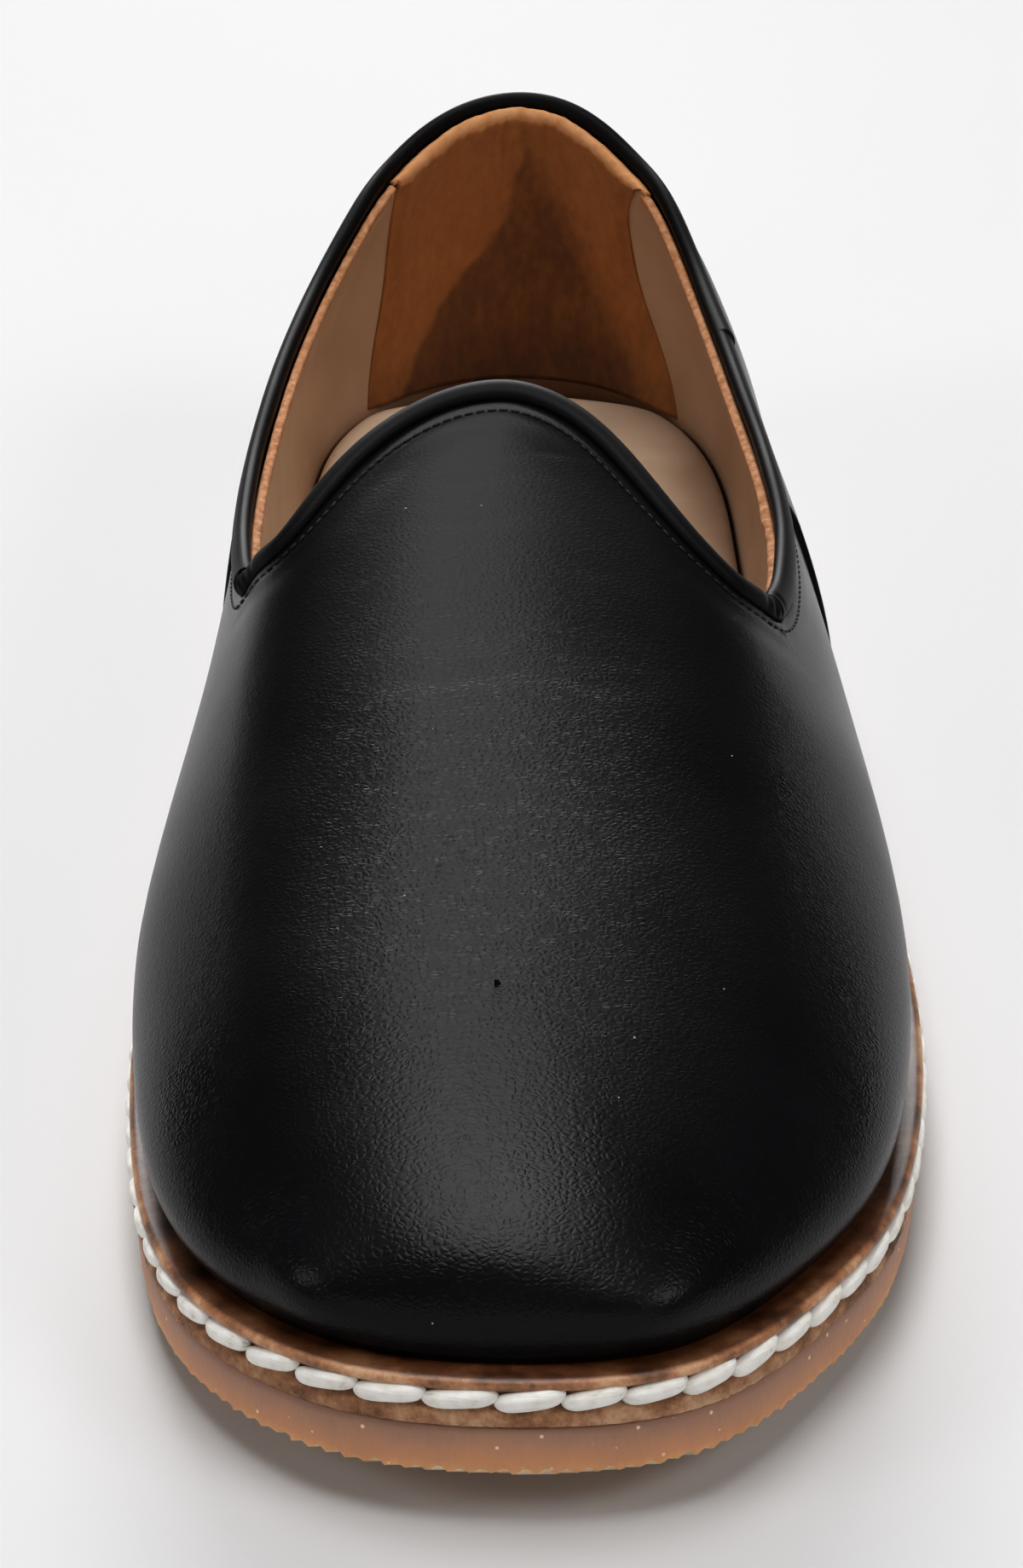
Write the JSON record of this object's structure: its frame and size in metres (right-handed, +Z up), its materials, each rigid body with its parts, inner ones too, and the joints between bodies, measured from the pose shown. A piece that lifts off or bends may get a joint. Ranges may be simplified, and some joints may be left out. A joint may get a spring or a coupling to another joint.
{
  "type": "slip-on shoe",
  "caption": "Left slip-on shoe with a hollow black leather upper, rounded throat, bound collar, stitched leather midsole and gum rubber outsole.",
  "frame": {"origin": "under the middle of the sole, on the plane that the sole rests on", "axes": "+Z up, the toe points along -Y and the heel along +Y, +X towards the outer (lateral) side of the left foot"},
  "size_m": [0.1032, 0.2794, 0.0729],
  "materials": {
    "gum_rubber": "matte, slightly translucent",
    "sole_leather": "burnished edge",
    "sock_leather": "smooth, matte",
    "upper_leather": "satin, fine grain",
    "binding_leather": "satin, fine grain"
  },
  "bodies": {
    "root": {"outsole": "gum_rubber", "midsole": "sole_leather", "insole": "sock_leather", "upper": "upper_leather", "throat_binding": "binding_leather", "collar_binding": "binding_leather"}
  },
  "joints": []
}
